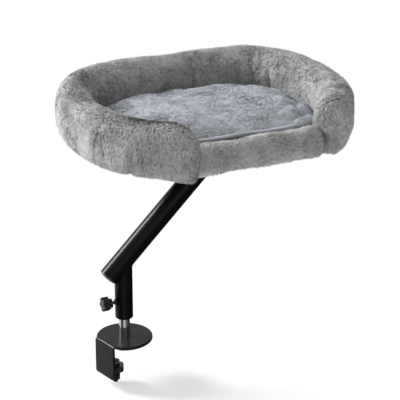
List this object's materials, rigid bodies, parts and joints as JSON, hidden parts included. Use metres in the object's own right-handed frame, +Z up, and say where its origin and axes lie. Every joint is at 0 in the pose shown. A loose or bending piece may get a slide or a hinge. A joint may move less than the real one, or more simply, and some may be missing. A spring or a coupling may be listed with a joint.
{
  "type": "desk clamp pet bed",
  "caption": "Plush pet bed with a raised wall and a low front lip, carried beside a desk top by a slanted tube arm that turns on a post and a screw clamp.",
  "frame": {"origin": "on the post's axis, at the desk top that the pad under the disc rests on", "axes": "+Z up along the post; +X along the arm's reach and the bed's length; the bed's low side faces -Y"},
  "size_m": [0.5512, 0.4563, 0.5925],
  "materials": {
    "black_powder_coat": "satin powder coat",
    "black_gloss_tube": "smooth semi-gloss paint",
    "chrome_plate": "polished",
    "zinc_steel": "zinc plated",
    "black_oxide_steel": "black oxide",
    "black_moulded_plastic": "fine grain",
    "grey_nylon": "smooth",
    "black_rubber": "matt",
    "birch_plywood": "raw",
    "black_base_cloth": "plain weave",
    "grey_plush": "short dense pile",
    "grey_cushion_plush": "short dense pile"
  },
  "bodies": {
    "clamp": {"clamp_bracket": "black_powder_coat", "disc_pad": "black_rubber", "edge_pad": "black_rubber", "jaw_arm": "black_powder_coat", "jaw_nut": "black_powder_coat", "post": "chrome_plate", "post_plug": "zinc_steel", "post_screw": "zinc_steel", "post_cap": "black_moulded_plastic"},
    "bushes": {"lower_bush": "grey_nylon", "upper_bush": "grey_nylon"},
    "mast": {"sleeve": "black_gloss_tube", "lock_insert": "black_oxide_steel", "arm_tube": "black_gloss_tube", "arm_end_cap": "black_moulded_plastic", "head_plate": "black_powder_coat", "head_screw_1": "zinc_steel", "head_screw_2": "zinc_steel", "head_screw_3": "zinc_steel", "head_screw_4": "zinc_steel", "tee_nut_1": "zinc_steel", "tee_nut_2": "zinc_steel", "tee_nut_3": "zinc_steel", "tee_nut_4": "zinc_steel", "base_board": "birch_plywood", "base_cover": "black_base_cloth", "bolster": "grey_plush", "front_lip": "grey_plush"},
    "lock_point": {"lock_tip": "grey_nylon"},
    "lock_screw": {"lock_stud": "black_oxide_steel", "lock_knob": "black_moulded_plastic"},
    "jaw_foot": {"pressure_foot": "zinc_steel", "foot_facing": "black_rubber"},
    "jaw_screw": {"clamp_stud": "black_oxide_steel", "clamp_knob": "black_moulded_plastic"},
    "loose_cushion": {"cushion": "grey_cushion_plush"}
  },
  "joints": [
    {"name": "sleeve_height", "type": "slide", "parent": "clamp", "child": "bushes", "axis": [0, 0, 1], "range_m": [-0.012, 0.016]},
    {"name": "swivel", "type": "hinge", "parent": "bushes", "child": "mast", "pos_m": [0, 0, 0.082], "axis": [0, 0, 1], "continuous": true},
    {"name": "lock_travel", "type": "slide", "parent": "mast", "child": "lock_point", "axis": [-1, 0, 0], "range_m": [0, 0.0021]},
    {"name": "lock_turn", "type": "hinge", "parent": "lock_point", "child": "lock_screw", "pos_m": [-0.035, 0, 0.082], "axis": [-1, 0, 0], "range_deg": [0, 720]},
    {"name": "jaw_travel", "type": "slide", "parent": "clamp", "child": "jaw_foot", "axis": [0, 0, 1], "range_m": [0, 0.0161]},
    {"name": "jaw_turn", "type": "hinge", "parent": "jaw_foot", "child": "jaw_screw", "pos_m": [-0.02329, -0.00581, -0.055], "axis": [0, 0, 1], "range_deg": [0, 3840]},
    {"name": "cushion_lift", "type": "slide", "parent": "mast", "child": "loose_cushion", "axis": [0, 0, 1], "range_m": [0, 0.15]}
  ],
  "couplings": [
    {"joint": "lock_travel", "follows": "lock_turn", "m_per_rad": 0.00015915},
    {"joint": "jaw_travel", "follows": "jaw_turn", "m_per_rad": 0.00023873}
  ]
}
